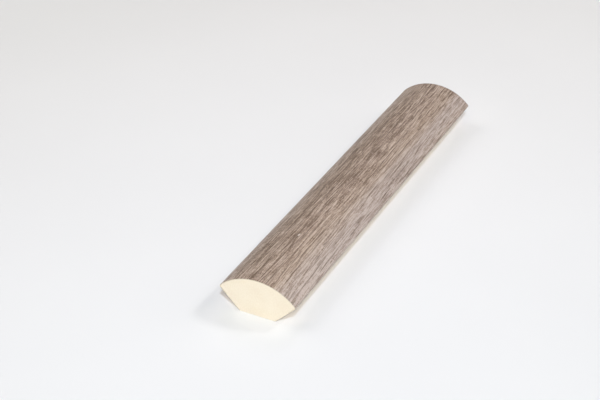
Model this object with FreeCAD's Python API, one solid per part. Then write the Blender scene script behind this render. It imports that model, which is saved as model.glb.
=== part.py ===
"""A cut length of quarter round moulding: a pale core wrapped in a wood-grain decor film.

The piece lies on its back chamfer with the curved face up. X runs along the length, Y across
it and Z up. The origin is the middle of the back chamfer, the flat that the piece lies on.

The section is drawn in the two directions of its legs, u and v, from the sharp corner that
the legs would meet in if it weren't cut off: one leg lies on v = 0 and the other on u = 0.
"""
import FreeCAD, Part
import math
import os

# Driving dimensions, in millimetres
LENGTH = 150.0            # the sample, saw cut square at both ends
LEG = 20.0                # finished size, from one leg's face to the far side of the curve
ARC_CENTRE_INSET = 1.0    # the curve is struck from a centre this far in from both legs
BACK_CHAMFER = 9.2        # what the sloping back takes off each leg
FILM_THICKNESS = 0.3      # decor film
CORE_NOSE_RADIUS = 0.5    # rounding of the core's tips, which the film is bent round
FILM_RETURN = 3.0         # how far the film comes back onto each leg, past the nose

# Worked out from them
NOSE_RADIUS = CORE_NOSE_RADIUS + FILM_THICKNESS
ARC_RADIUS = LEG - ARC_CENTRE_INSET
BACK_DEPTH = BACK_CHAMFER / math.sqrt(2.0)

# A nose touches its leg and the curve from inside, so its centre lies one nose radius in
# from the leg, and one nose radius short of the curve's own radius from the curve's centre.
NOSE_CENTRE = ARC_CENTRE_INSET + math.sqrt(
    (ARC_RADIUS - NOSE_RADIUS) ** 2 - (NOSE_RADIUS - ARC_CENTRE_INSET) ** 2
)
NOSE_TURN = math.asin((NOSE_RADIUS - ARC_CENTRE_INSET) / (ARC_RADIUS - NOSE_RADIUS))
FILM_EDGE = NOSE_CENTRE - FILM_RETURN

QUARTER = math.pi / 2.0


def place(u, v):
    """The point of the near end's section at (u, v), turned to lie on the back chamfer."""
    across = (u - v) / math.sqrt(2.0)
    height = (u + v) / math.sqrt(2.0) - BACK_DEPTH
    return FreeCAD.Vector(-LENGTH / 2.0, across, height)


def on_circle(centre_u, centre_v, radius, angle):
    """A point of a circle in the section, at an angle from the u direction."""
    return place(centre_u + radius * math.cos(angle), centre_v + radius * math.sin(angle))


def arc(centre_u, centre_v, radius, start, end):
    """A circular edge of the section between two angles."""
    angles = (start, (start + end) / 2.0, end)
    points = [on_circle(centre_u, centre_v, radius, angle) for angle in angles]
    return Part.Arc(*points).toShape()


def line(start, end):
    """A straight edge of the section between two (u, v) points."""
    return Part.LineSegment(place(*start), place(*end)).toShape()


def curved_side(inset):
    """Nose, curve and nose, a distance inside the finished surface, from leg v to leg u."""
    nose = NOSE_RADIUS - inset
    return [
        arc(NOSE_CENTRE, NOSE_RADIUS, nose, -QUARTER, NOSE_TURN),
        arc(ARC_CENTRE_INSET, ARC_CENTRE_INSET, ARC_RADIUS - inset, NOSE_TURN, QUARTER - NOSE_TURN),
        arc(NOSE_RADIUS, NOSE_CENTRE, nose, QUARTER - NOSE_TURN, 2.0 * QUARTER),
    ]


def film_seat():
    """The core's outline under the film: two shallow rebates joined by the curved side."""
    step = FILM_THICKNESS
    return (
        [line((FILM_EDGE, 0.0), (FILM_EDGE, step)), line((FILM_EDGE, step), (NOSE_CENTRE, step))]
        + curved_side(step)
        + [line((step, NOSE_CENTRE), (step, FILM_EDGE)), line((step, FILM_EDGE), (0.0, FILM_EDGE))]
    )


def extrude(edges):
    """A solid of the whole length from the closed outline that the edges make."""
    wire = Part.Wire(Part.sortEdges(edges)[0])
    return Part.Face(wire).extrude(FreeCAD.Vector(LENGTH, 0.0, 0.0))


def make_core():
    """The core: both legs, the back chamfer, and the seat that the film is wrapped on."""
    legs_and_back = [
        line((0.0, FILM_EDGE), (0.0, BACK_CHAMFER)),
        line((0.0, BACK_CHAMFER), (BACK_CHAMFER, 0.0)),
        line((BACK_CHAMFER, 0.0), (FILM_EDGE, 0.0)),
    ]
    return extrude(film_seat() + legs_and_back)


def make_decor_film():
    """The film: round the curve and both noses, and back onto the legs, flush with them."""
    outside = [
        line((FILM_EDGE, 0.0), (NOSE_CENTRE, 0.0)),
        *curved_side(0.0),
        line((0.0, NOSE_CENTRE), (0.0, FILM_EDGE)),
    ]
    return extrude(film_seat() + outside)


os.makedirs("parts", exist_ok=True)
for name, solid in {"core": make_core(), "decor_film": make_decor_film()}.items():
    solid.exportStep(f"parts/{name}.step")
    print(name, "valid", solid.isValid(), "volume", round(solid.Volume, 2), "mm3")
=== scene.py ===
"""The looks of a cut length of quarter round moulding: a pale core wrapped in a wood-grain film.

Everything is in metres in the part's own frame: X along the length, Y across, Z up, with the
back chamfer on the floor at z = 0. The section is drawn along its two legs, u and v, as the
solids are, and the film is laid out flat for its print: along the piece, and around the section.
"""

import logging
import math
from dataclasses import dataclass, field
from enum import Enum

import bpy
import numpy as np
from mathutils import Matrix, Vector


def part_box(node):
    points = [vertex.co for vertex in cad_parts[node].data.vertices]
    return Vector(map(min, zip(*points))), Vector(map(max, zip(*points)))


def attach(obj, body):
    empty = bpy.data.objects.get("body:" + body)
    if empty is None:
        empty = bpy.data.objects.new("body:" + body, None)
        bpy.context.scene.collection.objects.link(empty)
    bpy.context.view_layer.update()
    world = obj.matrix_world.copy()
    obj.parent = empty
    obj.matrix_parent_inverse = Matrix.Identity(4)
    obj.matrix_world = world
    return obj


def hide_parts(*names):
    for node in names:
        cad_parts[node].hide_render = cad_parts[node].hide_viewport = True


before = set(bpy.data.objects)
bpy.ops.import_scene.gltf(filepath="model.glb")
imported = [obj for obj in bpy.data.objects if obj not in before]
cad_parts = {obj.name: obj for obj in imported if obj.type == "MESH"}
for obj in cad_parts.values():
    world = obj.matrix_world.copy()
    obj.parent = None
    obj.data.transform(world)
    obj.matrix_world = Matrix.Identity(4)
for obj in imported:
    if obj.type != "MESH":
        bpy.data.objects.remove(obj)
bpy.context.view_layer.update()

MM = 0.001
EIGHTH_TURN = math.pi / 4.0
QUARTER_TURN = math.pi / 2.0
HALF_TURN = math.pi
BODY = "root"
PHOTO_WIDTH_PX = 600.0
SENSOR_WIDTH = 36.0
PALE = (0.83, 0.84, 0.84)

Pair = tuple[float, float]
Triple = tuple[float, float, float]
Colour = tuple[float, float, float]
Socket = bpy.types.NodeSocket
Inputs = dict[str | int, Socket | float | Triple]

log = logging.getLogger("moulding")


class Lay(Enum):
    """How a stretch of the section's outline runs: straight, or turning about a centre."""

    STRAIGHT = "straight"
    BEND = "bend"


class LampKind(Enum):
    """The kinds of lamp in the studio, by their Blender type."""

    FAR = "SUN"
    NEAR = "POINT"


class Easing(Enum):
    """How a mapped value runs from one end of its range to the other."""

    EVEN = "LINEAR"
    SOFT = "SMOOTHSTEP"


class Blend(Enum):
    """How a second colour goes on a first: over it, or as a tint."""

    OVER = "MIX"
    TINT = "MULTIPLY"


class Channel(Enum):
    """What the film's mesh carries for its print, and for the light and shade painted on it.

    TONE is the fine figure, and SHADE the broad shading under it, mostly painted light and
    shade round the section; both go from -1, dark, to 1, light. PORE is how far a place lies in a
    pore, and WORN how far the print is worn off, from 0 to 1. BLUSH goes from -1, olive,
    to 1, rosy: the wood's own tint and the tint of the painted sheen. STRENGTH is how strong the
    fine figure is. FLAT_PLACE is the place on the flat film, in millimetres, swayed with the grain.
    """

    TONE = "print_tone"
    SHADE = "print_shade"
    PORE = "print_pore"
    BLUSH = "print_blush"
    WORN = "print_worn"
    STRENGTH = "print_strength"
    FLAT_PLACE = "flat_place"


@dataclass(frozen=True)
class Stretch:
    """One stretch of the section's outline, with the outward normal at every point.

    Args:
        lay: straight or bend.
        start: where a straight stretch starts, or a bend's centre, as (u, v).
        end: where a straight stretch ends, as (u, v). A bend has none.
        normal: outward normal of a straight stretch.
        radius: of a bend.
        turn: first and last angle of a bend, from the u direction.
    """

    lay: Lay
    start: Pair
    end: Pair = (0.0, 0.0)
    normal: Pair = (0.0, 0.0)
    radius: float = 0.0
    turn: Pair = (0.0, 0.0)

    def length(self) -> float:
        """How long the stretch is.

        Returns:
            The length along it.
        """
        if self.lay is Lay.STRAIGHT:
            return math.dist(self.start, self.end)
        return self.radius * abs(self.turn[1] - self.turn[0])

    def points(self, share: np.ndarray) -> tuple[np.ndarray, np.ndarray]:
        """Points and normals at shares of the stretch's length.

        Args:
            share: places from 0 at its start to 1 at its end.

        Returns:
            The (u, v) points and the (u, v) normals, a row each.
        """
        if self.lay is Lay.STRAIGHT:
            start, end = np.array(self.start), np.array(self.end)
            return start + np.outer(share, end - start), np.tile(self.normal, (len(share), 1))
        angle = self.turn[0] + share * (self.turn[1] - self.turn[0])
        normals = np.column_stack([np.cos(angle), np.sin(angle)])
        return np.array(self.start) + self.radius * normals, normals


@dataclass(frozen=True)
class Section:
    """The moulding's section: sizes along its legs u and v, which meet in a sharp corner.

    Args:
        leg: finished size, from one leg's face to the far side of the curve.
        arc_inset: how far in from both legs the curve's centre lies.
        back_chamfer: what the sloping back takes off each leg.
        film: thickness of the film.
        core_nose: rounding of the core's tips.
        film_return: how far the film comes back onto each leg.
        arris: rounding of the corners between the legs and the back.
    """

    leg: float = 20.0 * MM
    arc_inset: float = 1.0 * MM
    back_chamfer: float = 9.2 * MM
    film: float = 0.3 * MM
    core_nose: float = 0.5 * MM
    film_return: float = 3.0 * MM
    arris: float = 0.25 * MM

    @property
    def nose(self) -> float:
        """Radius of the finished tips."""
        return self.core_nose + self.film

    @property
    def arc_radius(self) -> float:
        """Radius of the finished curve."""
        return self.leg - self.arc_inset

    @property
    def nose_centre(self) -> float:
        """How far along its leg a tip's centre lies, so that it touches leg and curve.

        Returns:
            The distance from the sharp corner.
        """
        reach = self.arc_radius - self.nose
        rise = self.nose - self.arc_inset
        return self.arc_inset + math.sqrt(reach**2 - rise**2)

    @property
    def nose_turn(self) -> float:
        """The angle, from the u direction, at which a tip runs into the curve."""
        return math.asin((self.nose - self.arc_inset) / (self.arc_radius - self.nose))

    @property
    def film_edge(self) -> float:
        """How far along its leg the film's edge lies."""
        return self.nose_centre - self.film_return

    @staticmethod
    def tilt(directions: np.ndarray) -> np.ndarray:
        """Turns (u, v) directions to the (y, z) ones of the piece lying on its back chamfer.

        Args:
            directions: (u, v), a row each.

        Returns:
            (y, z), a row each.
        """
        u, v = directions.T
        return np.column_stack([u - v, u + v]) / math.sqrt(2.0)

    def lie(self, points: np.ndarray) -> np.ndarray:
        """Turns (u, v) points, a row each, to the (y, z) of the piece lying on its back chamfer."""
        return self.tilt(points) - (0.0, self.back_chamfer / math.sqrt(2.0))

    def wrapped_side(self) -> list[Stretch]:
        """The finished outline that the film covers.

        Returns:
            Leg, tip, curve, tip and leg, from one film edge to the other.
        """
        edge, centre, nose, turn = self.film_edge, self.nose_centre, self.nose, self.nose_turn
        inset = (self.arc_inset, self.arc_inset)
        curve = (turn, QUARTER_TURN - turn)
        return [
            Stretch(Lay.STRAIGHT, (edge, 0.0), (centre, 0.0), normal=(0.0, -1.0)),
            Stretch(Lay.BEND, (centre, nose), radius=nose, turn=(-QUARTER_TURN, turn)),
            Stretch(Lay.BEND, inset, radius=self.arc_radius, turn=curve),
            Stretch(Lay.BEND, (nose, centre), radius=nose, turn=(curve[1], HALF_TURN)),
            Stretch(Lay.STRAIGHT, (0.0, centre), (0.0, edge), normal=(-1.0, 0.0)),
        ]

    def bare_back(self) -> list[Stretch]:
        """The core's bare outline.

        Returns:
            Leg, arris, back, arris and leg, from the film's last edge to its first.
        """
        edge, rounding = self.film_edge, self.arris
        corner = self.back_chamfer + rounding * math.tan(EIGHTH_TURN / 2.0)
        slope = (corner - self.back_chamfer) / math.sqrt(2.0)
        low, high = slope, self.back_chamfer - slope
        back = (-math.sqrt(0.5), -math.sqrt(0.5))
        turned = (-HALF_TURN, -HALF_TURN + EIGHTH_TURN, -QUARTER_TURN)
        return [
            Stretch(Lay.STRAIGHT, (0.0, edge), (0.0, corner), normal=(-1.0, 0.0)),
            Stretch(Lay.BEND, (rounding, corner), radius=rounding, turn=turned[:2]),
            Stretch(Lay.STRAIGHT, (low, high), (high, low), normal=back),
            Stretch(Lay.BEND, (corner, rounding), radius=rounding, turn=turned[1:]),
            Stretch(Lay.STRAIGHT, (corner, 0.0), (edge, 0.0), normal=(0.0, -1.0)),
        ]


@dataclass(frozen=True)
class Outline:
    """Points round a run of stretches, evenly spaced on each, with their normals.

    Args:
        points: (u, v), a row each.
        normals: outward, (u, v), a row each.
        around: how far each point lies from the run's start, along it.
    """

    points: np.ndarray
    normals: np.ndarray
    around: np.ndarray

    @classmethod
    def along(cls, stretches: list[Stretch], spacing: float, least: int = 1) -> "Outline":
        """Spaces points along stretches that follow each other.

        Args:
            stretches: the run, in order.
            spacing: the longest step between points.
            least: the fewest steps on a stretch.

        Returns:
            The outline, with both ends and each joint between stretches once.
        """
        points, normals, around = [], [], []
        start = 0.0
        for number, stretch in enumerate(stretches):
            steps = max(least, math.ceil(stretch.length() / spacing))
            share = np.linspace(0.0, 1.0, steps + 1)
            if number:
                share = share[1:]
            places, outward = stretch.points(share)
            points.append(places)
            normals.append(outward)
            around.append(start + share * stretch.length())
            start += stretch.length()
        return cls(np.vstack(points), np.vstack(normals), np.concatenate(around))

    def inset(self, depth: float) -> np.ndarray:
        """The points moved inwards along their normals."""
        return self.points - depth * self.normals


@dataclass
class Drift:
    """Smooth seeded noise on the flat film, from random values on a grid of cells.

    Args:
        seed: of the random draws.
        draws: the source of all random numbers of the figure.
    """

    seed: int
    draws: np.random.Generator = field(init=False)

    def __post_init__(self) -> None:
        """Starts the random draws."""
        self.draws = np.random.default_rng(self.seed)

    def noise(self, along: np.ndarray, around: np.ndarray, cell: Pair) -> np.ndarray:
        """Noise from -1 to 1 at places on the film, smooth over a cell's size.

        Args:
            along: places along the piece.
            around: places around the section.
            cell: size of a cell along and around.

        Returns:
            The noise, shaped as the places are.
        """
        row, column = along / cell[0], around / cell[1]
        row, column = row - math.floor(row.min()), column - math.floor(column.min())
        grid = self.draws.uniform(-1.0, 1.0, (int(row.max()) + 2, int(column.max()) + 2))
        i, j = row.astype(int), column.astype(int)
        down, across = self.ease(row - i), self.ease(column - j)
        near = grid[i, j] * (1.0 - across) + grid[i, j + 1] * across
        far = grid[i + 1, j] * (1.0 - across) + grid[i + 1, j + 1] * across
        return near * (1.0 - down) + far * down

    @staticmethod
    def ease(share: np.ndarray) -> np.ndarray:
        """Eases a share of a cell in and out, so that cells join smoothly."""
        return share * share * (3.0 - 2.0 * share)


@dataclass(frozen=True)
class Layer:
    """One layer of noise in the figure.

    Args:
        strength: what the noise is multiplied by.
        cell: size of its cells along the piece and around the section.
    """

    strength: float
    cell: Pair

    def at(self, along: np.ndarray, around: np.ndarray, drift: Drift) -> np.ndarray:
        """The layer at places on the film."""
        return self.strength * drift.noise(along, around, self.cell)


def bell(apart: np.ndarray, width: float) -> np.ndarray:
    """A bell curve of the distance from its middle, where it is 1."""
    return np.exp(-((apart / width) ** 2))


def taper(share: np.ndarray, bluntness: int) -> np.ndarray:
    """How strong a mark is along itself: 1 at share 0, its middle, and 0 at -1 and 1, its ends."""
    return np.clip(1.0 - np.abs(share) ** bluntness, 0.0, 1.0)


@dataclass(frozen=True)
class Rings:
    """The growth rings: thin dark lines that fade in and out along the piece.

    Args:
        gap: least and greatest gap between two of them.
        width: half width of the thinnest and of the thickest.
        strength: of the weakest and of the strongest.
        wander: how far they wander to the side.
        fading: how far they fade in and out.
        shown: how strongly they show without the fading.
    """

    gap: Pair = (1.0 * MM, 2.1 * MM)
    width: Pair = (0.12 * MM, 0.22 * MM)
    strength: Pair = (0.45, 1.0)
    wander: Layer = Layer(0.15 * MM, (40.0 * MM, 1.0))
    fading: Layer = Layer(1.6, (16.0 * MM, 1.0))
    shown: float = 0.25

    def draw(
        self, rows: np.ndarray, side: np.ndarray, drift: Drift
    ) -> tuple[np.ndarray, np.ndarray]:
        """Draws the rings.

        Args:
            rows: places along the piece.
            side: places around the section, swayed with the grain.
            drift: the noise, which gives the random draws too.

        Returns:
            How dark each place is, from 0 to 1, and where each ring lies.
        """
        dark, still = np.zeros_like(side), np.zeros_like(rows)
        place, places = side.min(), []
        while place < side.max():
            places.append(place)
            wander = self.wander.at(rows, still, drift)
            shown = np.clip(self.shown + self.fading.at(rows, still, drift), 0.0, 1.0)
            width = drift.draws.uniform(*self.width)
            strength = drift.draws.uniform(*self.strength)
            dark = np.maximum(dark, strength * shown * bell(side - place - wander, width))
            place += drift.draws.uniform(*self.gap)
        return dark, np.array(places)


@dataclass(frozen=True)
class Strokes:
    """Short marks drawn along the grain, which taper at both ends: pores, or pale flecks.

    Args:
        count: how many.
        length: middle length at the near end, in metres.
        shorten: how much shorter they are at the far end, as a share.
        spread: how much lengths differ, as the sigma of their logarithm.
        half_width: thinnest and thickest half width.
        strength: weakest and strongest mark.
        by_ring: share of them that lies beside a growth ring.
        beside: mean and spread of the distance of those from their ring.
        bluntness: of their ends.
        reach: how many half widths from its middle line a mark is drawn.
        margin: columns of the grid that are drawn past that.
        fewest_rows: rows of the grid that a mark has to cover to be drawn.
    """

    count: int
    length: float
    shorten: float
    spread: float
    half_width: Pair
    strength: Pair
    by_ring: float
    beside: Pair = (0.25 * MM, 0.25 * MM)
    bluntness: int = 3
    reach: float = 4.0
    margin: int = 4
    fewest_rows: int = 2

    def draw(
        self, rows: np.ndarray, side: np.ndarray, ring_places: np.ndarray, drift: Drift
    ) -> np.ndarray:
        """Draws the marks.

        Args:
            rows: places along the piece.
            side: places around the section, swayed with the grain.
            ring_places: where the growth rings lie.
            drift: gives the random draws.

        Returns:
            How strongly each place is marked, from 0 to 1.
        """
        marks = np.zeros_like(side)
        draws, along, middle_row = drift.draws, rows[:, 0], side[len(rows) // 2]
        for _ in range(self.count):
            centre = draws.uniform(along[0], along[-1])
            place = draws.uniform(middle_row[0], middle_row[-1])
            if draws.random() < self.by_ring:
                place = draws.choice(ring_places) + draws.normal(*self.beside)
            half = 0.5 * self.length * math.exp(draws.normal(0.0, self.spread))
            half *= 1.0 - self.shorten * centre / along[-1]
            width = draws.uniform(*self.half_width)
            strength = draws.uniform(*self.strength)
            first, last = np.searchsorted(along, (centre - half, centre + half))
            if last - first < self.fewest_rows:
                continue
            mid, reach = side[(first + last) // 2], self.reach * width
            left, right = np.searchsorted(mid, (place - reach, place + reach))
            window = (slice(first, last), slice(max(left - self.margin, 0), right + self.margin))
            mark = strength * taper((rows[window] - centre) / half, self.bluntness)
            marks[window] = np.maximum(marks[window], mark * bell(side[window] - place, width))
        return marks


@dataclass(frozen=True)
class Crack:
    """One long dark line of the print, or one pale nick in it.

    Args:
        along: where it starts and ends along the piece, from the near end.
        around: where it starts and ends around the section, from the film's first edge.
        half_width: of the line.
        strength: of the line, from 0 to 1.
        bluntness: of its ends.
    """

    along: Pair
    around: Pair
    half_width: float
    strength: float
    bluntness: int = 4

    def draw(self, rows: np.ndarray, columns: np.ndarray) -> np.ndarray:
        """Draws the line.

        Args:
            rows: places along the piece.
            columns: places around the section.

        Returns:
            How strongly each place is marked, from 0 to 1.
        """
        share = (rows - self.along[0]) / (self.along[1] - self.along[0])
        place = self.around[0] + share * (self.around[1] - self.around[0])
        mark = self.strength * taper(2.0 * share - 1.0, self.bluntness)
        return mark * bell(columns - place, self.half_width)


@dataclass(frozen=True)
class Swell:
    """A broad change of the print over part of the film.

    Args:
        strength: the greatest change.
        middle: the place of a hump's top, or of the middle of a step.
        width: how fast it comes, and goes.
    """

    strength: float
    middle: float
    width: float

    def hump(self, place: np.ndarray) -> np.ndarray:
        """The change at places, where it comes and goes again."""
        return self.strength * bell(place - self.middle, self.width)

    def step(self, place: np.ndarray) -> np.ndarray:
        """The change at places, where it comes and stays."""
        return self.strength / (1.0 + np.exp(-(place - self.middle) / self.width))


@dataclass(frozen=True)
class PaintedShading:
    """The broad shading: painted sheen and shade round the section, and changes along the piece.

    The paler, rosier side is partly the print's own tone and partly painted sheen. The paler,
    cooler band at the first tip is painted sheen, and the darker stretch beside the crown is
    painted shade.

    Args:
        fray: noise that frays the borders of the paler and of the rosier side.
        pale_sheen_side: what the paler side adds, partly the print's tone and partly painted sheen.
        sheen_tip: what the painted sheen at the first tip adds.
        shaded_crown: what the painted shade beside the crown adds.
        dark_middle: what the middle of the length adds.
        near_end: what the near end adds, and the length over which that fades.
        base: the tone under all of them.
        rosy_sheen_side: the rosier side's tint, partly the wood's own and partly painted sheen.
        cool_sheen_tip: what the painted sheen's cooler tint at the first tip adds to the tint.
        olive: the tint under both.
    """

    fray: Layer = Layer(1.2 * MM, (40.0 * MM, 1.6 * MM))
    # Painted sheen on the paler side, partly the print's own tone, and at the first tip; painted
    # shade beside the crown.
    pale_sheen_side: Swell = Swell(0.92, 25.0 * MM, 2.0 * MM)
    sheen_tip: Swell = Swell(0.93, 3.0 * MM, 4.0 * MM)
    shaded_crown: Swell = Swell(-0.25, 17.0 * MM, 4.2 * MM)
    dark_middle: Swell = Swell(-0.2, 78.0 * MM, 13.0 * MM)
    near_end: Pair = (0.38, 30.0 * MM)
    base: float = -0.37
    # The tint of the painted sheen, partly the wood's own on the rosier side.
    rosy_sheen_side: Swell = Swell(1.6, 27.0 * MM, 1.6 * MM)
    cool_sheen_tip: Swell = Swell(2.2, 3.0 * MM, 2.4 * MM)
    olive: float = -0.8

    def draw(
        self, rows: np.ndarray, columns: np.ndarray, drift: Drift
    ) -> tuple[np.ndarray, np.ndarray]:
        """Draws the shading, mostly painted sheen and shade.

        Args:
            rows: places along the piece.
            columns: places around the section.
            drift: the noise.

        Returns:
            The shade, and the tint of the wood and of the painted sheen, at each place.
        """
        frayed = columns + self.fray.at(rows, columns, drift)
        # Painted sheen and painted shade round the section, and changes along the piece.
        shade = self.pale_sheen_side.step(frayed) + self.sheen_tip.hump(columns) + self.shaded_crown.hump(columns)
        shade += self.near_end[0] * np.exp(-rows / self.near_end[1]) + self.dark_middle.hump(rows)
        # Tint of the painted sheen, partly the wood's own.
        blush = self.rosy_sheen_side.step(frayed) + self.cool_sheen_tip.hump(columns)
        return shade + self.base, blush + self.olive


@dataclass(frozen=True)
class PrintedGrain:
    """The wood figure on the film at every vertex: a row for each place along the piece.

    Args:
        carried: the numbers that the mesh carries, by channel.
        press: how deep the embossing presses the film in, in metres.
        side: the place around the section, swayed with the grain, in metres.
    """

    carried: dict[Channel, np.ndarray]
    press: np.ndarray
    side: np.ndarray


@dataclass(frozen=True)
class OakFigure:
    """The printed figure: bands, growth rings, streaks, pores and flecks, all running along X.

    Args:
        seed: of all its random draws.
        heart: place around the section that the grain runs in towards from the near end.
        closing: share by which it has run in at last, and the length that this takes.
        turn: how fast it turns back to the first edge, and from where along the piece.
        sway: how it wanders to the side, over long lengths and over short ones.
        rings: the growth rings.
        bands: broad bands of tone.
        streaks: narrow ones.
        fibres: the narrowest ones, which stand up a little too.
        choppy: how much shorter the narrow ones are at the far end.
        pores: the large pores, which are pressed in as well as printed.
        checks: pores that run together into long thin lines.
        flecks: the pale marks.
        cracks: the longest dark lines.
        nicks: tiny pale places where the face is worn through the print.
        shading: the broad shading, mostly painted sheen and shade.
        blushes: patches of olive and rosy wood.
        ring_tone: what a ring adds to the tone.
        fleck_tone: what a fleck adds to it.
        base_tone: the tone under all of them.
        places: around the section, where the figure's strength is given.
        near: its strength there at the near end.
        far: its strength there from the end of the change on.
        change: the length over which it changes.
        pore_depth: how deep a full pore is pressed in.
        ring_depth: how deep a ring's line is pressed in.
        fibre_depth: how deep the film lies between fibres.
    """

    seed: int = 20
    heart: float = 21.0 * MM
    closing: Pair = (0.385, 60.0 * MM)
    turn: Pair = (0.3, 70.0 * MM)
    sway: tuple[Layer, Layer] = (
        Layer(0.25 * MM, (55.0 * MM, 16.0 * MM)),
        Layer(0.06 * MM, (13.0 * MM, 4.0 * MM)),
    )
    rings: Rings = Rings()
    bands: Layer = Layer(0.12, (90.0 * MM, 3.0 * MM))
    streaks: Layer = Layer(0.3, (12.0 * MM, 0.34 * MM))
    fibres: Layer = Layer(0.5, (7.0 * MM, 0.25 * MM))
    choppy: float = 0.5
    pores: Strokes = Strokes(
        count=2300, length=6.5 * MM, shorten=0.5, spread=0.5,
        half_width=(0.07 * MM, 0.12 * MM), strength=(0.3, 1.0), by_ring=0.3,
    )
    checks: Strokes = Strokes(
        count=160, length=16.0 * MM, shorten=0.1, spread=0.4,
        half_width=(0.08 * MM, 0.12 * MM), strength=(0.5, 1.0), by_ring=0.3,
    )
    flecks: Strokes = Strokes(
        count=2400, length=7.0 * MM, shorten=0.5, spread=0.5,
        half_width=(0.08 * MM, 0.13 * MM), strength=(0.2, 1.0), by_ring=0.1,
    )
    cracks: tuple[Crack, ...] = (
        Crack((13.0 * MM, 41.0 * MM), (13.3 * MM, 14.2 * MM), 0.16 * MM, 1.0),
        Crack((38.0 * MM, 62.0 * MM), (14.4 * MM, 14.9 * MM), 0.16 * MM, 0.7),
        Crack((56.0 * MM, 69.0 * MM), (12.1 * MM, 12.4 * MM), 0.2 * MM, 0.9),
        Crack((104.0 * MM, 126.0 * MM), (17.8 * MM, 18.4 * MM), 0.18 * MM, 0.8),
    )
    nicks: tuple[Crack, ...] = (
        Crack((29.2 * MM, 30.6 * MM), (19.2 * MM, 19.5 * MM), 0.2 * MM, 1.0),
        Crack((46.4 * MM, 47.6 * MM), (20.5 * MM, 20.6 * MM), 0.16 * MM, 0.5),
    )
    shading: PaintedShading = PaintedShading()
    blushes: Layer = Layer(0.45, (60.0 * MM, 5.0 * MM))
    ring_tone: float = -0.9
    fleck_tone: float = 0.9
    base_tone: float = 0.1
    places: Triple = (9.0 * MM, 20.0 * MM, 28.0 * MM)
    near: Triple = (3.1, 1.3, 1.3)
    far: Triple = (2.8, 2.3, 1.2)
    change: float = 90.0 * MM
    pore_depth: float = 0.035 * MM
    ring_depth: float = 0.012 * MM
    fibre_depth: float = 0.004 * MM

    def draw(self, along: np.ndarray, around: np.ndarray) -> PrintedGrain:
        """Draws the figure on a grid of the flat film.

        Args:
            along: places along the piece, one for each row.
            around: places around the section, one for each column.

        Returns:
            The figure at every crossing of a row and a column.
        """
        rows, columns = np.meshgrid(along, around, indexing="ij")
        drift = Drift(self.seed)
        side = self.swayed(rows, columns, drift)
        rings, ring_places = self.rings.draw(rows, side, drift)
        closer = rows + self.choppy * rows**2 / rows.max()
        tone = self.bands.at(rows, side, drift) + self.streaks.at(closer, side, drift)
        fibres = self.fibres.at(closer, side, drift)
        pores, checks, flecks = (
            strokes.draw(rows, side, ring_places, drift)
            for strokes in (self.pores, self.checks, self.flecks)
        )
        cracks = [crack.draw(rows, columns) for crack in self.cracks]
        pore = np.maximum.reduce([pores, checks, *cracks])
        worn = sum(nick.draw(rows, columns) for nick in self.nicks)
        # The broad shading and its tint are mostly painted sheen and shade.
        shade, blush = self.shading.draw(rows, columns, drift)
        blush += self.blushes.at(rows, side, drift)
        tone += fibres + self.ring_tone * rings + self.fleck_tone * flecks + self.base_tone
        press = self.pore_depth * np.maximum(pore, worn) + self.ring_depth * rings
        press += self.fibre_depth * (1.0 - fibres / self.fibres.strength)
        carried = {
            Channel.TONE: tone,
            Channel.SHADE: shade,
            Channel.PORE: pore,
            Channel.BLUSH: blush,
            Channel.WORN: worn,
            Channel.STRENGTH: self.strength(rows, columns),
        }
        return PrintedGrain(carried, press, side)

    def swayed(self, rows: np.ndarray, columns: np.ndarray, drift: Drift) -> np.ndarray:
        """Bends the grain: it runs in towards the heart, turns back and wanders.

        Args:
            rows: places along the piece.
            columns: places around the section.
            drift: the noise.

        Returns:
            The places around the section, swayed with the grain.
        """
        closed = self.closing[0] * (1.0 - np.exp(-rows / self.closing[1]))
        side = columns + closed * (columns - self.heart)
        side += self.turn[0] * np.clip(rows - self.turn[1], 0.0, None) ** 2
        for sway in self.sway:
            side += sway.at(rows, columns, drift)
        return side

    def strength(self, rows: np.ndarray, columns: np.ndarray) -> np.ndarray:
        """How strong the fine figure is at places along the piece and around the section."""
        near, far = (np.interp(columns, self.places, given) for given in (self.near, self.far))
        return near + np.clip(rows / self.change, 0.0, 1.0) * (far - near)


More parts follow.
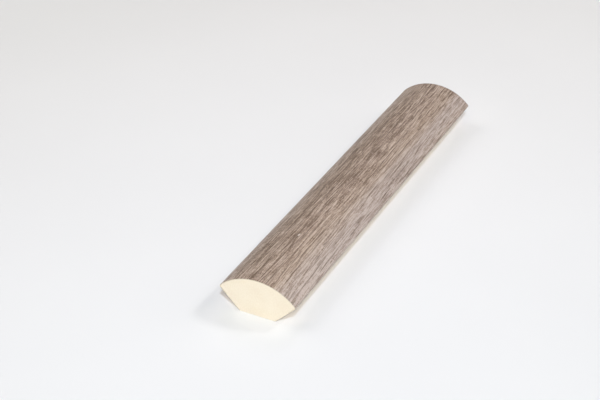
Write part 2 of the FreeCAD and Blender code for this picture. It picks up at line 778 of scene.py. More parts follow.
@dataclass(frozen=True)
class Painter:
    """The nodes of one material or of the world, with short ways to add more.

    Args:
        tree: the nodes.
        mix_sockets: numbers of a colour mix's share, of its two colours and of its result.
    """

    tree: bpy.types.NodeTree
    mix_sockets: tuple[int, int, int, int] = (0, 6, 7, 2)

    def fill(self, node: bpy.types.Node, inputs: Inputs) -> None:
        """Fills a node's inputs.

        Args:
            node: the node.
            inputs: by name or number, each a constant or where it comes from.
        """
        for name, given in inputs.items():
            socket = node.inputs[name]
            if isinstance(given, Socket):
                self.tree.links.new(given, socket)
            else:
                socket.default_value = (*given, 1.0) if socket.type == "RGBA" else given

    def add(self, kind: str, inputs: Inputs | None = None, **settings: str) -> bpy.types.Node:
        """Adds a node.

        Args:
            kind: Blender's name for it.
            inputs: by name or number, each a constant or where it comes from.
            settings: the node's own.

        Returns:
            The node.
        """
        node = self.tree.nodes.new(kind)
        for name, value in settings.items():
            setattr(node, name, value)
        self.fill(node, inputs or {})
        return node

    def place(self) -> Socket:
        """The place in the part's frame."""
        return self.add("ShaderNodeTexCoord").outputs["Object"]

    def carried(self, channel: Channel) -> Socket:
        """What the mesh carries: a place, or a number."""
        node = self.add("ShaderNodeAttribute", attribute_name=channel.value)
        return node.outputs["Vector" if channel is Channel.FLAT_PLACE else "Fac"]

    def stretched(self, place: Socket, stretch: Triple) -> Socket:
        """A place that is multiplied in each direction."""
        inputs = {0: place, 1: stretch}
        return self.add("ShaderNodeVectorMath", inputs, operation="MULTIPLY").outputs[0]

    def noise(self, place: Socket, stretch: Triple, detail: float = 3.0) -> Socket:
        """Noise on a stretched place.

        Args:
            place: the place to read.
            stretch: how many times it is multiplied, in each direction.
            detail: levels of finer noise.

        Returns:
            The noise, from 0 to 1.
        """
        inputs = {"Vector": self.stretched(place, stretch), "Scale": 1.0, "Detail": detail}
        return self.add("ShaderNodeTexNoise", inputs).outputs["Fac"]

    def times(self, first: Socket, second: Socket) -> Socket:
        """The product of two values."""
        return self.add("ShaderNodeMath", {0: first, 1: second}, operation="MULTIPLY").outputs[0]

    def total(self, parts: list[tuple[Socket, float]]) -> Socket:
        """Adds values, each times its own weight.

        Args:
            parts: the values and their weights.

        Returns:
            The sum.
        """
        running = 0.0
        for value, weight in parts:
            inputs = {0: value, 1: weight, 2: running}
            running = self.add("ShaderNodeMath", inputs, operation="MULTIPLY_ADD").outputs[0]
        return running

    def span(self, value: Socket, read: Pair, give: Pair, easing: Easing = Easing.EVEN) -> Socket:
        """Maps one range of a value to another, held at both ends.

        Args:
            value: the value to map.
            read: the range that is read.
            give: the range that is given.
            easing: how it runs from one end to the other.

        Returns:
            The mapped value.
        """
        inputs = {"Value": value, "From Min": read[0], "From Max": read[1]}
        inputs |= {"To Min": give[0], "To Max": give[1]}
        return self.add("ShaderNodeMapRange", inputs, interpolation_type=easing.value).outputs[0]

    def ramp(self, value: Socket, stops: list[tuple[float, Colour]]) -> Socket:
        """Turns a value to a colour.

        Args:
            value: from 0 to 1.
            stops: places on the ramp and their colours, from the first place to the last.

        Returns:
            The colour.
        """
        node = self.add("ShaderNodeValToRGB", {"Fac": value})
        elements = node.color_ramp.elements
        for number, (place, colour) in enumerate(stops):
            element = elements[number] if number < len(elements) else elements.new(place)
            element.position = place
            element.color = (*colour, 1.0)
        return node.outputs["Color"]

    def mix(
        self,
        share: Socket | float,
        first: Socket | Colour,
        second: Socket | Colour,
        blend: Blend = Blend.OVER,
    ) -> Socket:
        """Mixes two colours.

        Args:
            share: of the second colour.
            first: a colour, or where it comes from.
            second: a colour, or where it comes from.
            blend: how the second goes on the first.

        Returns:
            The mixed colour.
        """
        share_at, first_at, second_at, result_at = self.mix_sockets
        inputs = {share_at: share, first_at: first, second_at: second}
        settings = {"data_type": "RGBA", "blend_type": blend.value}
        return self.add("ShaderNodeMix", inputs, **settings).outputs[result_at]

    def bump(self, height: Socket, depth: float) -> Socket:
        """The normal of a fine relief.

        Args:
            height: from 0 to 1.
            depth: how deep the relief is, in metres.

        Returns:
            The normal.
        """
        inputs = {"Strength": 1.0, "Distance": depth, "Height": height}
        return self.add("ShaderNodeBump", inputs).outputs["Normal"]


@dataclass(frozen=True)
class Finish:
    """What every finish shares: a node material with one surface.

    Args:
        name: of the material.
    """

    name: str

    def material(self) -> bpy.types.Material:
        """Makes the material.

        Returns:
            The material.
        """
        made = bpy.data.materials.new(self.name)
        made.use_nodes = True
        made.node_tree.nodes.clear()
        painter = Painter(made.node_tree)
        painter.add("ShaderNodeOutputMaterial", {"Surface": self.surface(painter)})
        return made

    def surface(self, painter: Painter) -> Socket:
        """The surface: one Principled shader, dressed by this finish."""
        return painter.add("ShaderNodeBsdfPrincipled", self.dress(painter)).outputs["BSDF"]

    def dress(self, painter: Painter) -> Inputs:
        """Adds this finish's own nodes.

        Args:
            painter: of the material's nodes.

        Returns:
            What the shader's inputs take.
        """
        raise NotImplementedError


@dataclass(frozen=True)
class Fibres:
    """Fine noise in the print, from long fibres to short specks.

    Args:
        stretch: how many cells there are to a millimetre, in each direction.
        detail: levels of finer noise.
        weight: how much it adds to the tone.
        common: the range that such noise nearly keeps to.
    """

    stretch: Triple
    detail: float
    weight: float = 1.0
    common: Pair = (0.25, 0.75)

    def draw(self, painter: Painter, place: Socket, give: Pair = (-1.0, 1.0)) -> Socket:
        """The noise at a place, over the range that is given."""
        return painter.span(painter.noise(place, self.stretch, self.detail), self.common, give)


@dataclass(frozen=True)
class Dashes:
    """Short marks in the print, one in each cell of a pattern, some dark and some light.

    Args:
        stretch: how many cells there are to a millimetre, in each direction.
        weight: how much a mark adds to the tone.
        rim: how far from its middle a mark is whole, and how far it reaches.
    """

    stretch: Triple
    weight: float
    rim: Pair = (0.21, 0.42)

    def draw(self, painter: Painter, place: Socket) -> Socket:
        """Draws the marks.

        Args:
            painter: of the material's nodes.
            place: the place to read.

        Returns:
            The marks, from -1 to 1, and 0 between them.
        """
        inputs = {"Vector": painter.stretched(place, self.stretch), "Scale": 1.0}
        cells = painter.add("ShaderNodeTexVoronoi", inputs, voronoi_dimensions="2D")
        parts = painter.add("ShaderNodeSeparateColor", {"Color": cells.outputs["Color"]})
        strength = painter.span(parts.outputs["Red"], (0.0, 1.0), (-1.0, 1.0))
        whole = painter.span(cells.outputs["Distance"], self.rim, (1.0, 0.0))
        return painter.times(strength, whole)


@dataclass(frozen=True)
class PrintFinish(Finish):
    """The film's face: satin, with the print in greyed brown and darker pores.

    Args:
        dark: the darkest wood.
        middle: the common tone.
        light: the palest streaks.
        stops: how light a tone has each of those colours, from 0 to 1.
        pore: the pores' colour.
        bare: the film's own colour, where the print is worn off.
        olive: the tint of the yellower wood.
        rosy: the tint of the pinker wood, and of the painted sheen.
        figure_weight: how much the figure that the mesh carries adds to the fine tone.
        fibres: noise in the fine tone.
        threads: finer noise in it, which changes the gloss too.
        specks: the finest noise in it.
        dashes: short marks in it.
        painted_shade_weight: how much the broad shading, mostly painted sheen and shade, adds.
        tones: the range of tones that the colours spread over.
        mottle: fine mottling over all of it.
        mottling: least and most that the mottling multiplies the colour by.
        blushes: the range of the tint, the wood's and the painted sheen's, that the tints spread
            over.
        pore_range: how far into a pore its colour starts, and is full.
        pore_cover: how much of the wood a full pore covers.
        thread_gloss: what the threads add to the roughness, before it is held to its range.
        pore_gloss: what a pore adds to it.
        gloss_range: the range of both together.
        roughness: least and greatest.
        shine: how strongly the face reflects.
        relief_shares: of the fibres and of the threads in the finest relief.
        relief: its depth.
    """

    name: str = "grey_oak_print"
    dark: Colour = (0.120, 0.075, 0.047)
    middle: Colour = (0.293, 0.217, 0.167)
    light: Colour = (0.520, 0.427, 0.365)
    stops: Triple = (0.0, 0.5, 1.0)
    pore: Colour = (0.084, 0.049, 0.028)
    bare: Colour = (0.82, 0.74, 0.66)
    olive: Colour = (1.0, 0.96, 0.91)
    rosy: Colour = (0.975, 0.985, 1.04)
    figure_weight: float = 0.5
    fibres: Fibres = Fibres((0.16, 3.1, 1.0), 4.0, 0.36)
    threads: Fibres = Fibres((1.0, 5.5, 1.0), 3.0, 0.26)
    specks: tuple[Fibres, ...] = (
        Fibres((1.3, 4.2, 1.0), 1.0, 0.24),
        Fibres((3.0, 4.8, 1.0), 1.0, 0.26),
    )
    dashes: tuple[Dashes, ...] = (Dashes((0.2, 2.6, 1.0), 0.2), Dashes((0.45, 3.8, 1.0), 0.3))
    painted_shade_weight: float = 0.5
    tones: Pair = (-0.75, 0.75)
    mottle: Fibres = Fibres((1.6, 8.0, 1.0), 3.0)
    mottling: Pair = (0.72, 1.28)
    blushes: Pair = (-0.8, 0.8)
    pore_range: Pair = (0.05, 0.9)
    pore_cover: float = 0.85
    thread_gloss: float = 0.04
    pore_gloss: float = 0.12
    gloss_range: Pair = (-0.1, 0.1)
    roughness: Pair = (0.40, 0.56)
    shine: float = 0.3
    relief_shares: Pair = (0.5, 0.5)
    relief: float = 0.006 * MM

    def dress(self, painter: Painter) -> Inputs:
        """Paints the print from what the mesh carries, with finer fibres between.

        Args:
            painter: of the material's nodes.

        Returns:
            What the shader's inputs take.
        """
        place = painter.carried(Channel.FLAT_PLACE)
        pore = painter.carried(Channel.PORE)
        fibres = self.fibres.draw(painter, place)
        threads = self.threads.draw(painter, place)
        fine = [
            (painter.carried(Channel.TONE), self.figure_weight),
            (fibres, self.fibres.weight),
            (threads, self.threads.weight),
        ]
        fine += [(kind.draw(painter, place), kind.weight) for kind in (*self.specks, *self.dashes)]
        figure = painter.times(painter.total(fine), painter.carried(Channel.STRENGTH))
        wood = self.wood(painter, place, figure)
        covered = painter.span(pore, self.pore_range, (0.0, self.pore_cover))
        colour = painter.mix(covered, wood, self.pore)
        rough = painter.total([(threads, self.thread_gloss), (pore, self.pore_gloss)])
        relief = painter.total(list(zip((fibres, threads), self.relief_shares)))
        return {
            "Base Color": painter.mix(painter.carried(Channel.WORN), colour, self.bare),
            "Roughness": painter.span(rough, self.gloss_range, self.roughness),
            "Specular IOR Level": self.shine,
            "Normal": painter.bump(relief, self.relief),
        }

    def wood(self, painter: Painter, place: Socket, figure: Socket) -> Socket:
        """Colours the wood between the pores, and adds the painted sheen and shade.

        Args:
            painter: of the material's nodes.
            place: on the flat film.
            figure: the fine tone.

        Returns:
            The colour.
        """
        # Mostly painted sheen and shade round the section.
        broad = painter.carried(Channel.SHADE)
        tone = painter.total([(figure, 1.0), (broad, self.painted_shade_weight)])
        tone = painter.span(tone, self.tones, (0.0, 1.0), Easing.SOFT)
        wood = painter.ramp(tone, list(zip(self.stops, (self.dark, self.middle, self.light))))
        mottle = self.mottle.draw(painter, place, self.mottling)
        # The wood's own tint, and the tint of the painted sheen.
        blush = painter.span(painter.carried(Channel.BLUSH), self.blushes, (0.0, 1.0))
        for tint in (mottle, painter.mix(blush, self.olive, self.rosy)):
            wood = painter.mix(1.0, wood, tint, Blend.TINT)
        return wood


@dataclass(frozen=True)
class FilmEdgeFinish(Finish):
    """The film's cut edge and its underside: the pale film without its print.

    Args:
        shades: darkest and palest tone.
        stops: how much noise gives each of them.
        stretch: how many cells of the noise there are to a metre, in each direction.
        roughness: of the cut.
    """

    name: str = "bare_film"
    shades: tuple[Colour, Colour] = ((0.70, 0.60, 0.46), (0.78, 0.68, 0.53))
    stops: Pair = (0.3, 0.7)
    stretch: Triple = (1800.0, 1800.0, 1800.0)
    roughness: float = 0.6

    def dress(self, painter: Painter) -> Inputs:
        """Paints the edge in two near tones.

        Args:
            painter: of the material's nodes.

        Returns:
            What the shader's inputs take.
        """
        noise = painter.noise(painter.place(), self.stretch)
        colour = painter.ramp(noise, list(zip(self.stops, self.shades)))
        return {"Base Color": colour, "Roughness": self.roughness}


@dataclass(frozen=True)
class CoreFinish(Finish):
    """The pale core: fine short fibres pressed together, with no grain.

    Args:
        shades: the tones that the fibres range over.
        stops: how much noise gives each of them.
        stretch: how many fibres there are to a metre, in each direction.
        fibre_detail: levels of finer noise in them.
        clouds: how many soft clouds there are to a metre.
        cloud_share: what share of the noise they are.
        speck: the few darker specks.
        specks: how many cells there are to a metre that may hold one.
        speck_detail: levels of finer noise in them.
        speck_range: how much noise starts a speck, and fills it.
        speck_cover: how much a full one covers.
        rough_range: how much noise gives the least and the greatest roughness.
        roughness: least and greatest.
        shine: how strongly it reflects.
        relief: depth of the fibres' relief.
    """

    name: str = "core_planed"
    shades: tuple[Colour, Colour] = ((0.850, 0.730, 0.565), (0.912, 0.802, 0.645))
    stops: Pair = (0.36, 0.64)
    stretch: Triple = (700.0, 2600.0, 2600.0)
    fibre_detail: float = 5.0
    clouds: Triple = (140.0, 140.0, 140.0)
    cloud_share: float = 0.45
    speck: Colour = (0.62, 0.49, 0.33)
    specks: Triple = (3400.0, 3400.0, 3400.0)
    speck_detail: float = 1.0
    speck_range: Pair = (0.74, 0.84)
    speck_cover: float = 0.35
    rough_range: Pair = (0.3, 0.7)
    roughness: Pair = (0.72, 0.88)
    shine: float = 0.3
    relief: float = 0.008 * MM

    def dress(self, painter: Painter) -> Inputs:
        """Paints fibres, specks and soft clouds.

        Args:
            painter: of the material's nodes.

        Returns:
            What the shader's inputs take.
        """
        place = painter.place()
        fibres = painter.noise(place, self.stretch, self.fibre_detail)
        clouds = painter.noise(place, self.clouds)
        mixed = painter.total([(fibres, 1.0 - self.cloud_share), (clouds, self.cloud_share)])
        colour = painter.ramp(mixed, list(zip(self.stops, self.shades)))
        specks = painter.noise(place, self.specks, self.speck_detail)
        covered = painter.span(specks, self.speck_range, (0.0, self.speck_cover))
        return {
            "Base Color": painter.mix(covered, colour, self.speck),
            "Roughness": painter.span(fibres, self.rough_range, self.roughness),
            "Specular IOR Level": self.shine,
            "Normal": painter.bump(fibres, self.relief),
        }


@dataclass(frozen=True)
class PaintedLightEndFinish(CoreFinish):
    """The core's sawn ends, with the fibres cut across, painted paler than its sides as painted
    light.
    """

    name: str = "core_sawn_painted_light"
    # Paler than the machined sides: painted light on the sawn ends.
    shades: tuple[Colour, Colour] = ((0.905, 0.788, 0.618), (0.965, 0.865, 0.705))
    stretch: Triple = (2600.0, 2600.0, 1500.0)


@dataclass(frozen=True)
class FloorFinish(Finish):
    """The pale floor: faintest clouding, and painted shade a little darker away from the piece.

    Args:
        shades: the two near tones.
        stops: how much noise gives each of them.
        clouds: how many clouds there are to a metre.
        away: what the colour is multiplied by far from the piece, as painted shade.
        reach: the least distance that counts as far, along the piece and across it.
        fade: squares of the distances over which the floor turns to the backdrop's colour.
        backdrop: that colour.
        roughness: of the floor.
    """

    name: str = "pale_floor"
    shades: tuple[Colour, Colour] = ((0.85, 0.849, 0.855), (0.87, 0.869, 0.875))
    stops: Pair = (0.3, 0.7)
    clouds: Triple = (9.0, 9.0, 9.0)
    away: Colour = (0.84, 0.84, 0.815)
    reach: Pair = (0.35, 0.275)
    fade: Pair = (0.02, 0.13)
    backdrop: Colour = PALE
    roughness: float = 0.85

    def dress(self, painter: Painter) -> Inputs:
        """Paints two near tones, darkened by painted shade with the square of the distance.

        Args:
            painter: of the material's nodes.

        Returns:
            What the shader's inputs take.
        """
        noise = painter.noise(painter.place(), self.clouds)
        near = painter.ramp(noise, list(zip(self.stops, self.shades)))
        shares = [(square, far**-2) for square, far in zip(self.squares(painter), self.reach)]
        apart = painter.span(painter.total(shares), (0.0, 1.0), (0.0, 1.0))
        # Painted shade: darker away from the piece.
        colour = painter.mix(apart, near, painter.mix(1.0, near, self.away, Blend.TINT))
        return {"Base Color": colour, "Roughness": self.roughness, "Specular IOR Level": 0.0}

    def surface(self, painter: Painter) -> Socket:
        """The floor, which turns to the backdrop's colour far away, for the camera alone.

        Args:
            painter: of the material's nodes.

        Returns:
            The surface.
        """
        lit = super().surface(painter)
        apart = painter.total([(square, 1.0) for square in self.squares(painter)])
        far = painter.span(apart, self.fade, (0.0, 1.0), Easing.SOFT)
        seen = painter.add("ShaderNodeLightPath").outputs["Is Camera Ray"]
        glow = painter.add("ShaderNodeEmission", {"Color": self.backdrop}).outputs["Emission"]
        inputs = {0: painter.times(far, seen), 1: lit, 2: glow}
        return painter.add("ShaderNodeMixShader", inputs).outputs["Shader"]

    @staticmethod
    def squares(painter: Painter) -> list[Socket]:
        """Squares of the distances from the piece's middle, along it and across it."""
        parts = painter.add("ShaderNodeSeparateXYZ", {"Vector": painter.place()}).outputs
        return [painter.times(parts[axis], parts[axis]) for axis in "XY"]


@dataclass
class MeshDraft:
    """Vertices and faces of one piece while it is put together.

    Args:
        vertices: blocks of (x, y, z) rows.
        faces: vertex numbers of each face.
        finishes: number of each face's finish.
        smooth: whether each face is shaded smooth.
        count: how many vertices there are so far.
    """

    vertices: list[np.ndarray] = field(default_factory=list)
    faces: list[list[int]] = field(default_factory=list)
    finishes: list[int] = field(default_factory=list)
    smooth: list[bool] = field(default_factory=list)
    count: int = 0

    def add_points(self, points: np.ndarray) -> np.ndarray:
        """Adds vertices.

        Args:
            points: (x, y, z), a row each.

        Returns:
            Their numbers.
        """
        numbers = np.arange(self.count, self.count + len(points))
        self.vertices.append(points)
        self.count += len(points)
        return numbers

    def add_faces(self, faces: list[list[int]], finish: int, smooth: bool) -> None:
        """Adds faces that share a finish.

        Args:
            faces: vertex numbers of each, in the order that turns it outwards.
            finish: number of their finish.
            smooth: whether they are shaded smooth.
        """
        self.faces.extend(faces)
        self.finishes.extend([finish] * len(faces))
        self.smooth.extend([smooth] * len(faces))

    def add_grid(
        self, numbers: np.ndarray, finish: int, smooth: bool, closed: bool = False
    ) -> None:
        """Adds the four-sided faces of a grid of vertices.

        Args:
            numbers: vertex numbers, a row for each line of the grid.
            finish: number of the faces' finish.
            smooth: whether they are shaded smooth.
            closed: whether the last column joins the first.
        """
        if closed:
            numbers = np.column_stack([numbers, numbers[:, 0]])
        nearer, further = numbers[:-1], numbers[1:]
        sides = [nearer[:, :-1], nearer[:, 1:], further[:, 1:], further[:, :-1]]
        self.add_faces(np.stack(sides, axis=-1).reshape(-1, 4).tolist(), finish, smooth)

    def build(self, name: str, finishes: tuple[Finish, ...]) -> bpy.types.Object:
        """Makes the object.

        Args:
            name: of the piece.
            finishes: in the order of their numbers.

        Returns:
            The object, linked to the scene.
        """
        mesh = bpy.data.meshes.new(name)
        mesh.from_pydata(np.vstack(self.vertices).tolist(), [], self.faces)
        for finish in finishes:
            mesh.materials.append(finish.material())
        mesh.polygons.foreach_set("material_index", self.finishes)
        mesh.polygons.foreach_set("use_smooth", self.smooth)
        mesh.update()
        mesh.validate()
        piece = bpy.data.objects.new(name, mesh)
        bpy.context.scene.collection.objects.link(piece)
        return piece


@dataclass
class DecorFilm:
    """The decor film: an embossed face over curve and noses, its edges and its hidden back.

    Args:
        section: the moulding's section.
        ends: x of the near end and of the far end.
        figure: the printed figure.
        step_around: widest step between columns.
        rows: how many places along the piece have a row of vertices.
        finishes: of the face, and of its edges and back.
    """

    section: Section
    ends: Pair
    figure: OakFigure = OakFigure()
    step_around: float = 0.1 * MM
    rows: int = 240
    finishes: tuple[Finish, Finish] = (PrintFinish(), FilmEdgeFinish())

    def build(self) -> bpy.types.Object:
        """Builds the film's closed mesh and gives it the print.

        Returns:
            The piece.
        """
        outline = Outline.along(self.section.wrapped_side(), self.step_around)
        along = np.linspace(*self.ends, self.rows)
        grain = self.figure.draw(along - self.ends[0], outline.around)
        draft = MeshDraft()
        face = self.place(draft, outline, along, grain.press)
        back = self.place(draft, outline, np.array(self.ends), np.full((2, 1), self.section.film))
        draft.add_grid(face, 0, True)
        draft.add_grid(back[:, ::-1], 1, True)
        self.close(draft, face, back)
        piece = draft.build("decor_film_wrap", self.finishes)
        self.carry_print(piece, along, grain)
        return piece

    def place(
        self, draft: MeshDraft, outline: Outline, along: np.ndarray, depth: np.ndarray
    ) -> np.ndarray:
        """Adds a grid of vertices at a depth under the finished outline.

        Args:
            draft: the mesh so far.
            outline: of the finished section.
            along: x of each row.
            depth: under the outline, for each row and column or for each row.

        Returns:
            The vertex numbers, a row for each place along.
        """
        outside, outward = self.section.lie(outline.points), self.section.tilt(outline.normals)
        depth = np.broadcast_to(depth, (len(along), len(outside)))
        sides = outside[None] - depth[..., None] * outward[None]
        lengths = np.broadcast_to(along[:, None, None], (*depth.shape, 1))
        points = np.concatenate([lengths, sides], axis=-1).reshape(-1, 3)
        return draft.add_points(points).reshape(depth.shape)

    @staticmethod
    def close(draft: MeshDraft, face: np.ndarray, back: np.ndarray) -> None:
        """Closes the film between its face and its back: two cut ends and two long edges.

        Args:
            draft: the mesh so far.
            face: vertex numbers of the face.
            back: vertex numbers of the back, a row at each end.
        """
        draft.add_grid(np.stack([back[0], face[0]]), 1, False)
        draft.add_grid(np.stack([face[-1], back[-1]]), 1, False)
        first = [*face[:, 0].tolist(), int(back[-1, 0]), int(back[0, 0])]
        last = [*face[::-1, -1].tolist(), int(back[0, -1]), int(back[-1, -1])]
        draft.add_faces([first, last], 1, False)

    @staticmethod
    def carry_print(piece: bpy.types.Object, along: np.ndarray, grain: PrintedGrain) -> None:
        """Stores the figure on the mesh, for the print's material to read.

        Args:
            piece: the film.
            along: x of each row.
            grain: the figure.
        """
        bare = 2 * grain.side.shape[1]
        for channel, values in grain.carried.items():
            stored = piece.data.attributes.new(channel.value, "FLOAT", "POINT")
            stored.data.foreach_set("value", np.concatenate([values.ravel(), np.zeros(bare)]))
        rows = np.broadcast_to(along[:, None], grain.side.shape)
        flat = np.stack([rows, grain.side, np.zeros_like(rows)], axis=-1).reshape(-1, 3) / MM
        flat = np.concatenate([flat, np.zeros((bare, 3))])
        stored = piece.data.attributes.new(Channel.FLAT_PLACE.value, "FLOAT_VECTOR", "POINT")
        stored.data.foreach_set("vector", flat.ravel())


@dataclass(frozen=True)
class SawLines:
    """One run of the arcs that the saw left, as a wave across them.

    Args:
        gap: distance from one arc to the next.
        depth: of the wave.
        phase: of the wave at the blade's hub.
    """

    gap: float
    depth: float
    phase: float

    def at(self, reach: np.ndarray) -> np.ndarray:
        """How deep the run is at distances from the blade's hub."""
        return self.depth * (0.5 + 0.5 * np.sin(2.0 * math.pi * reach / self.gap + self.phase))


@dataclass
class Core:
    """The core: its seat under the film, bare legs and back, and two sawn ends.

    Args:
        section: the moulding's section.
        ends: x of the near end and of the far end.
        step: widest step between points round the section.
        least_steps: fewest steps on a stretch under the film, and on a bare one.
        rings: rings of faces from an end's rim to its middle.
        blade_hub: (y, z) of the saw blade's middle.
        saw_lines: the arcs that the blade left on the ends.
        plain_rim: share of the way in from the rim over which the arcs fade in.
        finishes: of the machined sides, and of the sawn ends.
    """

    section: Section
    ends: Pair
    step: float = 0.25 * MM
    least_steps: tuple[int, int] = (4, 3)
    rings: int = 60
    blade_hub: Pair = (-30.0 * MM, -105.0 * MM)
    saw_lines: tuple[SawLines, ...] = (
        SawLines(gap=1.3 * MM, depth=0.0084 * MM, phase=0.0),
        SawLines(gap=0.481 * MM, depth=0.0036 * MM, phase=1.0),
    )
    plain_rim: float = 0.25
    finishes: tuple[Finish, Finish] = (CoreFinish(), PaintedLightEndFinish())

    def build(self) -> bpy.types.Object:
        """Builds the core's closed mesh.

        Returns:
            The piece.
        """
        rim = self.rim()
        draft = MeshDraft()
        rims = [draft.add_points(np.column_stack([np.full(len(rim), x), rim])) for x in self.ends]
        draft.add_grid(np.stack(rims), 0, False, closed=True)
        for numbers, x, direction in zip(rims, self.ends, (-1, 1)):
            self.saw(draft, numbers, rim, x, direction)
        return draft.build("core_stock", self.finishes)

    def rim(self) -> np.ndarray:
        """The core's outline as (y, z) points, once round.

        Returns:
            The points, with the shallow seats of the film's edges.
        """
        section = self.section
        covered, bare = self.least_steps
        seat = Outline.along(section.wrapped_side(), self.step, covered).inset(section.film)
        back = Outline.along(section.bare_back(), self.step, bare).points
        return section.lie(np.vstack([seat, back]))

    def saw(
        self, draft: MeshDraft, numbers: np.ndarray, rim: np.ndarray, x: float, direction: int
    ) -> None:
        """Closes one end with rings of faces, in which the saw left faint arcs.

        Args:
            draft: the mesh so far.
            numbers: vertex numbers of the end's rim.
            rim: its (y, z) points.
            x: of the end.
            direction: 1 where the end faces +X, -1 where it faces -X.
        """
        middle = rim.mean(axis=0)
        loops = [numbers]
        for inwards in np.arange(1, self.rings) / self.rings:
            points = middle + (1.0 - inwards) * (rim - middle)
            depth = self.saw_depth(points) * min(1.0, inwards / self.plain_rim)
            loops.append(draft.add_points(np.column_stack([x - direction * depth, points])))
        centre = int(draft.add_points(np.array([[x, *middle]]))[0])
        grid = np.stack(loops)[:, ::direction]
        draft.add_grid(grid, 1, True, closed=True)
        fan = [[int(a), int(b), centre] for a, b in zip(grid[-1], np.roll(grid[-1], -1))]
        draft.add_faces(fan, 1, True)

    def saw_depth(self, points: np.ndarray) -> np.ndarray:
        """How deep the saw's arcs are at (y, z) points of an end."""
        reach = np.linalg.norm(points - self.blade_hub, axis=1)
        return sum(lines.at(reach) for lines in self.saw_lines)


@dataclass(frozen=True)
class Lamp:
    """One lamp, aimed at the piece.

    Args:
        name: of the lamp.
        kind: far or near.
        heading: degrees from +X, towards +Y, of the direction in which the lamp stands.
        elevation: degrees above the floor.
        strength: of the lamp, in its own unit.
        spread: a far lamp's angle in degrees, or a near lamp's radius in metres.
        colour: of its light.
        distance: of a near lamp from the piece.
    """

    name: str
    kind: LampKind
    heading: float
    elevation: float
    strength: float
    spread: float
    colour: Colour
    distance: float = 1.0

    def build(self) -> None:
        """Places the lamp."""
        data = bpy.data.lights.new(self.name, self.kind.value)
        data.energy = self.strength
        data.color = self.colour
        if self.kind is LampKind.FAR:
            data.angle = math.radians(self.spread)
        else:
            data.shadow_soft_size = self.spread
        lamp = bpy.data.objects.new(self.name, data)
        heading, elevation = math.radians(self.heading), math.radians(self.elevation)
        lamp.location = (
            self.distance * math.cos(elevation) * math.cos(heading),
            self.distance * math.cos(elevation) * math.sin(heading),
            self.distance * math.sin(elevation),
        )
        lamp.rotation_euler = (QUARTER_TURN - elevation, 0.0, heading + QUARTER_TURN)
        bpy.context.scene.collection.objects.link(lamp)


@dataclass(frozen=True)
class Eye:
    """The camera, where the photograph was taken from.

    Args:
        place: where it stands.
        heading: degrees from +X, towards +Y, in which it looks.
        dip: degrees by which it looks down.
        focal_px: focal length in pixels of the photograph.
        nearest: the nearest that it shows.
    """

    place: Triple = (-0.3994, -0.1813, 0.2818)
    heading: float = 27.07
    dip: float = 32.56
    focal_px: float = 1431.0
    nearest: float = 0.01

    def build(self) -> None:
        """Makes the camera and sets it as the scene's."""
        data = bpy.data.cameras.new("eye")
        data.sensor_width = SENSOR_WIDTH
        data.lens = self.focal_px * SENSOR_WIDTH / PHOTO_WIDTH_PX
        data.clip_start = self.nearest
        eye = bpy.data.objects.new("eye", data)
        eye.location = self.place
        turned = math.radians(self.heading) - QUARTER_TURN
        eye.rotation_euler = (QUARTER_TURN - math.radians(self.dip), 0.0, turned)
        bpy.context.scene.collection.objects.link(eye)
        bpy.context.scene.camera = eye


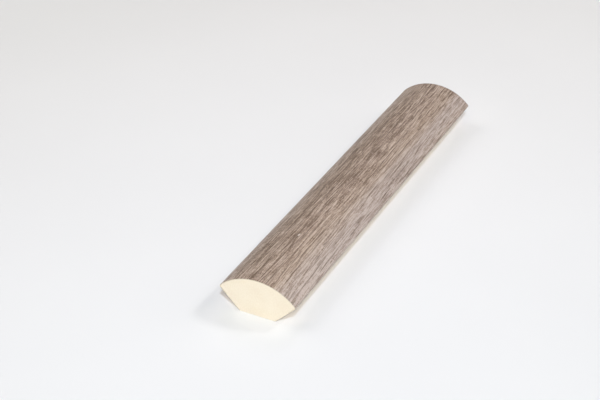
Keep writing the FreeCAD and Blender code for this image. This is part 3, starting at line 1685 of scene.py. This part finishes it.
@dataclass
class Studio:
    """Floor, lamps, surrounding light and camera.

    Args:
        floor_side: of the square floor.
        backdrop: pale colour that shows behind the floor, and in what is glossy.
        lamps: all of them.
        eye: the camera.
    """

    floor_side: float = 6.0
    backdrop: Colour = PALE
    lamps: tuple[Lamp, ...] = (
        Lamp("flash", LampKind.NEAR, 208.0, 48.0, 17.5, 0.008, (0.69, 0.85, 1.0)),
        Lamp("front", LampKind.FAR, 209.0, 40.0, 1.22, 8.0, (1.0, 0.97, 0.91)),
        Lamp("front_left", LampKind.FAR, 180.0, 45.0, 0.47, 35.0, (1.0, 0.82, 0.60)),
        Lamp("left", LampKind.FAR, 90.0, 45.0, 0.70, 35.0, (1.0, 0.95, 0.92)),
        Lamp("back", LampKind.FAR, 20.0, 40.0, 0.38, 20.0, (0.97, 0.89, 1.0)),
        Lamp("back_right", LampKind.FAR, -45.0, 42.0, 0.61, 12.0, (1.0, 1.0, 0.98)),
        Lamp("right", LampKind.FAR, -60.0, 52.0, 0.11, 12.0, (1.0, 0.82, 0.76)),
        Lamp("low_right", LampKind.FAR, -55.0, 25.0, 0.43, 35.0, (1.0, 0.88, 0.83)),
    )
    eye: Eye = Eye()

    def build(self) -> None:
        """Builds everything that isn't the piece."""
        self.eye.build()
        for lamp in self.lamps:
            lamp.build()
        self.surround()
        self.floor()
        bpy.context.scene.view_settings.view_transform = "Standard"

    def surround(self) -> None:
        """Shows the backdrop to the camera and in reflections, and adds no light to the piece."""
        world = bpy.data.worlds.new("surround")
        world.use_nodes = True
        painter = Painter(world.node_tree)
        ways = painter.add("ShaderNodeLightPath").outputs
        seen = ways["Is Camera Ray"]
        for way in ("Is Glossy Ray", "Is Transmission Ray"):
            inputs = {0: seen, 1: ways[way]}
            seen = painter.add("ShaderNodeMath", inputs, operation="MAXIMUM").outputs[0]
        background = world.node_tree.nodes["Background"]
        painter.fill(background, {"Color": self.backdrop, "Strength": seen})
        bpy.context.scene.world = world

    def floor(self) -> bpy.types.Object:
        """Lays the floor under the piece.

        Returns:
            The floor.
        """
        half = self.floor_side / 2.0
        corners = ((-half, -half), (half, -half), (half, half), (-half, half))
        draft = MeshDraft()
        numbers = draft.add_points(np.array([[x, y, 0.0] for x, y in corners]))
        draft.add_faces([numbers.tolist()], 0, False)
        return draft.build("floor", (FloorFinish(),))


def stand_for(piece: bpy.types.Object, node: str) -> None:
    """Lets a piece stand for its solid.

    Args:
        piece: the dressed piece.
        node: the solid that it stands for.
    """
    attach(piece, BODY)
    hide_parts(node)
    corners = len(piece.data.vertices)
    triangles = sum(len(face.vertices) - 2 for face in piece.data.polygons)
    log.info("%s: %d vertices, %d triangles, for %s", piece.name, corners, triangles, node)


def main() -> None:
    """Builds the studio and both pieces."""
    logging.basicConfig(level=logging.INFO, format="%(name)s: %(message)s")
    low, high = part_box("core")
    ends = (low.x, high.x)
    section = Section()
    Studio().build()
    stand_for(Core(section, ends).build(), "core")
    stand_for(DecorFilm(section, ends).build(), "decor_film")


if __name__ == "__main__":
    main()
